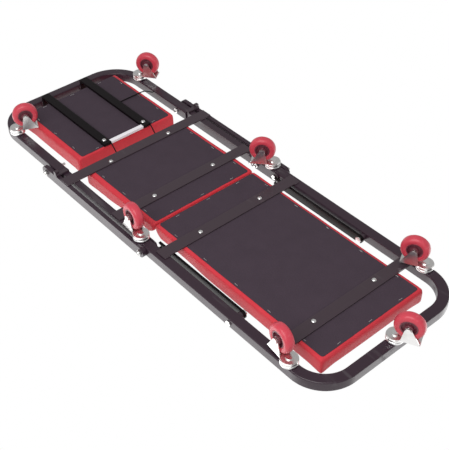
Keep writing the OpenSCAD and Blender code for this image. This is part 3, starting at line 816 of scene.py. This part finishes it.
def cloth_panel(node, name):
    low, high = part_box(node)
    centre = (low + high) / 2
    bm = bmesh.new()
    made = bmesh.ops.create_grid(bm, x_segments=1, y_segments=1, size=1, matrix=Matrix.Translation(centre))
    for v in made["verts"]:
        v.co.x = high.x - cloth_lap if v.co.x > centre.x else low.x + cloth_lap
        v.co.y = high.y - cloth_lap if v.co.y > centre.y else low.y + cloth_lap
        v.co.z = low.z + cloth_thick
    bmesh.ops.bevel(
        bm, geom=made["verts"], offset=cloth_corner, affect="VERTICES", segments=5, profile=0.5, material=-1
    )
    straight = [e for e in bm.edges if e.calc_length() > cloth_corner]
    bmesh.ops.subdivide_edges(bm, edges=straight, cuts=rim_cuts)
    for v in bm.verts:
        v.co += cut_wander * noise.noise_vector(v.co * cut_waves) * Vector((1, 1, 0))
    rim = bm.edges[:]
    loop = push(bm, rim, (0, 0, -cloth_thick))
    bmesh.ops.contextual_create(bm, geom=loop)
    bmesh.ops.recalc_face_normals(bm, faces=bm.faces)
    bmesh.ops.bevel(
        bm, geom=loop, offset=cloth_ease, affect="EDGES", segments=2, profile=0.5, material=-1
    )
    make_piece(name, bm, body_of_node[node], "board", [node])


pad_of_board = {"foot_board": "foot", "mid_board": "middle", "head_board": "head"}
for node, name in pad_of_board.items():
    cloth_panel(node, name + "_dust_cloth")
print("dust cloths:", len(pad_of_board))

# %% Staples round each cloth
staple_size = Vector((9.5, 0.9, 0.5)) * MM
staple_inset = 6 * MM
staple_tilt, tilt_waves = math.radians(7), 50
staple_ease = 0.3 * MM


def staple_row(bm, start, end, low_z):
    """Staples along the line from start to end, each turned a little out of line."""
    run = end - start
    count = max(2, round(run.length / staple_pitch))
    for i in range(count):
        place = start + run * ((i + 0.5) / count)
        turn = math.atan2(run.y, run.x) + staple_tilt * noise.noise(place * tilt_waves)
        at = Matrix.Translation((place.x, place.y, low_z)) @ Matrix.Rotation(turn, 4, "Z")
        bmesh.ops.create_cube(bm, size=1, matrix=at @ Matrix.Diagonal((*staple_size, 1)))


def staples(node, name):
    low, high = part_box(node)
    x0, x1, y0, y1 = low.x + staple_inset, high.x - staple_inset, low.y + staple_inset, high.y - staple_inset
    corners = [Vector(p) for p in ((x0, y0, 0), (x1, y0, 0), (x1, y1, 0), (x0, y1, 0))]
    bm = bmesh.new()
    for start, end in zip(corners, corners[1:] + corners[:1]):
        staple_row(bm, start, end, low.z)
    bmesh.ops.bevel(
        bm, geom=bm.edges[:], offset=staple_ease, affect="EDGES", segments=1, profile=0.5, material=-1
    )
    make_piece(name, bm, body_of_node[node], "zinc")


for node, name in pad_of_board.items():
    staples(node, name + "_staples")
print("staples round", len(pad_of_board), "cloths")

# %% [markdown]
# ## Casters
#
# A caster is a pressed zinc fork on a ball race, with a red tread cast round a plastic hub. The wheel's two
# pieces are bodies of revolution, so each is one section spun round the axle. The section is drawn in a
# plane through the axle and its corners are rounded before the spin.

# %% Spin a section round an axle
wheel_steps = 72
spin_seam = 0.001 * MM


def wheel_place(caster):
    """Matrix that puts a wheel modelled round local Z on its own axle."""
    joint = joint_named["wheel_" + caster]
    turn = Z_AXIS.rotation_difference(Vector(joint["axis"])).to_matrix().to_4x4()
    return Matrix.Translation(joint["pos_m"]) @ turn


def spun(points, rounds, place):
    """Closed section of (radius, along) points, each corner rounded by its own radius, spun round local Z."""
    bm = bmesh.new()
    corners = [bm.verts.new((radius, 0, along)) for radius, along in points]
    bm.faces.new(corners)
    for corner, size in zip(corners, rounds):
        if size:
            bmesh.ops.bevel(
                bm, geom=[corner], offset=size, affect="VERTICES", segments=4, profile=0.5, material=-1
            )
    bmesh.ops.delete(bm, geom=bm.faces[:], context="FACES_ONLY")
    bmesh.ops.spin(
        bm, geom=bm.edges[:], cent=(0, 0, 0), axis=Z_AXIS, angle=2 * math.pi, steps=wheel_steps,
        use_merge=True,
    )
    bmesh.ops.remove_doubles(bm, verts=bm.verts, dist=spin_seam)
    bmesh.ops.recalc_face_normals(bm, faces=bm.faces)
    bmesh.ops.transform(bm, matrix=place, verts=bm.verts)
    return bm


# %% Treads and hubs
low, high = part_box("tyre_foot_end")
wheel_radius = (high.z - low.z) / 2
low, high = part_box("hub_foot_end")
hub_radius = (high.z - low.z) / 2
tread_half = 11 * MM
tread_crown, tread_step, cast_in = 1.2 * MM, 2 * MM, 0.2 * MM
tread_edge, tread_shoulder = 0.8 * MM, 6.5 * MM
boss_radius = 8.6 * MM
boss_half = 11.7 * MM
bore_radius = 4.1 * MM
web_half, web_step = 4 * MM, 1.4 * MM
lip_half = 9.8 * MM
lip_inner = hub_radius - 3.2 * MM
dish_radius = (boss_radius + lip_inner) / 2


def tread(caster):
    inner, outer = hub_radius - cast_in, wheel_radius
    points = [
        (inner, -lip_half), (inner + tread_step, -tread_half), (outer - tread_crown, -tread_half), (outer, 0),
        (outer - tread_crown, tread_half), (inner + tread_step, tread_half), (inner, lip_half),
    ]
    rounds = (0, tread_edge, tread_shoulder, 0, tread_shoulder, tread_edge, 0)
    node = "tyre_" + caster
    bm = spun(points, rounds, wheel_place(caster))
    make_piece("tread_" + caster, bm, body_of_node[node], "tread", [node], smooth_angle=50)


def hub(caster):
    side = [
        (bore_radius, boss_half), (boss_radius, boss_half), (boss_radius, web_half + web_step),
        (dish_radius, web_half), (lip_inner, web_half + web_step), (lip_inner, lip_half),
        (hub_radius, lip_half),
    ]
    points = side + [(radius, -along) for radius, along in reversed(side)]
    rounds = (0.4 * MM, 1 * MM, 1.2 * MM, 4 * MM, 1.2 * MM, 0.7 * MM, 0)
    node = "hub_" + caster
    bm = spun(points, rounds + tuple(reversed(rounds)), wheel_place(caster))
    make_piece("wheel_hub_" + caster, bm, body_of_node[node], "hub", [node], smooth_angle=40)


casters = [name.removeprefix("wheel_") for name in joint_named if name.startswith("wheel_")]
for caster in casters:
    tread(caster)
    hub(caster)
    eased("axle_" + caster, width_mm=0.5, segments=2)
print("casters:", casters)

# %% Forks and ball races with rolled cups
cup_radius = 19 * MM
cup_roll_mm = 2.4
cup_slack = 0.3 * MM
cups_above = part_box("tyre_foot_end")[1].z + 4.5 * MM
swivel_at = [Vector(joint_named["swivel_" + caster]["pos_m"]).xy for caster in casters]


def is_cup_rim(edge):
    """Whether an edge runs round the outside of a swivel's upper or lower cup."""
    return all(
        v.co.z > cups_above and any(abs((v.co.xy - at).length - cup_radius) < cup_slack for at in swivel_at)
        for v in edge.verts
    )


for node in ["base_races", "head_races"] + ["fork_" + caster for caster in casters]:
    bm = cleaned(node)
    ease(bm, [e for e in sharp_edges(bm) if is_cup_rim(e)], width_mm=cup_roll_mm, segments=4)
    ease(bm, sharp_edges(bm), width_mm=0.8, segments=2)
    make_piece(node + "_shown", bm, body_of_node[node], slot_of_node[node], [node])
print("cups rolled at", len(swivel_at), "swivels")

# %% [markdown]
# ## Welds and wires
#
# Each cross bar is welded to the undersides of two rails, with a short bead along both of its sides. A bead
# is a row of overlapping drops, as a welder leaves them. At the head pad a thin black wire runs from each
# flat bar, and one more crosses from the right rail.

# %% Weld beads
drop_radius = 1.9 * MM
drop_pitch = 1.7 * MM
drop_sink = 0.4 * drop_radius
drop_unevenness, drop_waves = 0.12, 900


def bead(bm, start, end):
    """Row of overlapping drops from start to end."""
    run = end - start
    count = max(2, round(run.length / drop_pitch))
    for i in range(count + 1):
        place = start + run * (i / count)
        size = drop_radius * (1 + drop_unevenness * noise.noise(place * drop_waves))
        bmesh.ops.create_uvsphere(
            bm, u_segments=8, v_segments=6, radius=size, matrix=Matrix.Translation(place)
        )


def bar_welds(name, bar, inner_y):
    """Beads along both sides of a cross bar's ends, where it lies under the rails."""
    low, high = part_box(bar)
    bm = bmesh.new()
    for x in (low.x, high.x):
        for side in (-1, 1):
            z = high.z - drop_sink
            bead(bm, Vector((x, side * inner_y, z)), Vector((x, side * (high.y - drop_radius), z)))
    make_piece(name, bm, body_of_node[bar], "black_bar")


tube_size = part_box("foot_frame")[1].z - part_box("foot_frame")[0].z
rail_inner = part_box("foot_frame")[1].y - tube_size + drop_radius
for bar in ("knee_bar", "foot_bar", "back_bar", "seat_bar"):
    bar_welds(bar + "_welds", bar, rail_inner)

head_bar_weld = bmesh.new()
for node in ("pad_bar_left", "pad_bar_right"):
    low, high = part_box(node)
    for y in (low.y, high.y):
        foot = Vector((low.x, y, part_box("head_frame")[0].z + 2 * drop_radius))
        bead(head_bar_weld, foot, Vector((low.x, y, high.z - drop_radius)))
make_piece("pad_bar_welds", head_bar_weld, "head_section", "black_bar")
print("welds done")

# %% Wires at the head pad
wire_radius = 1.5 * MM
tip_run, tip_reach, tip_rise = 4 * MM, 22 * MM, 18 * MM
tip_in = 3 * MM
half_bar = 3.5 * MM
stay_at, stay_run, stay_drop = 100 * MM, 4 * MM, 30 * MM


def wire_run(curve, points):
    """Adds a wire through the points."""
    spline = curve.splines.new("POLY")
    spline.points.add(len(points) - 1)
    for knot, point in zip(spline.points, points):
        knot.co = (*point, 1)


def eased_path(points, share=0.35, steps=5):
    """The same route with each corner cut by a short arc of a parabola."""
    path = [points[0]]
    for before, here, after in zip(points, points[1:], points[2:]):
        reach = share * min((here - before).length, (after - here).length)
        start, end = here - (here - before).normalized() * reach, here + (after - here).normalized() * reach
        for i in range(steps + 1):
            t = i / steps
            path.append(start.lerp(here, t).lerp(here.lerp(end, t), t))
    return path + [points[-1]]


curve = bpy.data.curves.new("pad_wires_bent", "CURVE")
curve.dimensions = "3D"
curve.bevel_depth = wire_radius
curve.bevel_resolution = 3
curve.use_fill_caps = True
for node in ("pad_bar_left", "pad_bar_right"):
    low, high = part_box(node)
    start = Vector((high.x, low.y + tip_in, low.z + half_bar))
    tip = [start, start + Vector((tip_run, 0, 0)), start + Vector((tip_reach, 0, tip_rise))]
    wire_run(curve, eased_path(tip))
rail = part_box("head_frame")[0]
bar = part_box("pad_bar_right")[0]
hinge = joint_named["head_hinge"]["pos_m"]
stay_x, inner_y, wire_z = hinge[0] - stay_at, rail.y + tube_size, bar.z + half_bar
stay = [
    (stay_x, inner_y, rail.z + 2 * wire_radius), (stay_x, inner_y + stay_run, rail.z + 2 * wire_radius),
    (stay_x, inner_y + stay_drop, wire_z), (stay_x, bar.y, wire_z),
]
wire_run(curve, eased_path([Vector(p) for p in stay]))
wires = bpy.data.objects.new("pad_wires_bent", curve)
bpy.context.scene.collection.objects.link(wires)
# The wires take the darker coat too, which is painted shade.
curve.materials.append(painted_shade_coat)
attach(wires, "head_section")
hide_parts("pad_wires")
print("wires:", len(curve.splines))


for name, node in frame["nodes"].items():
    if not node.hide_render:
        node.data.materials.clear()
        node.data.materials.append(finish_of_slot[slot_of_node[name]])
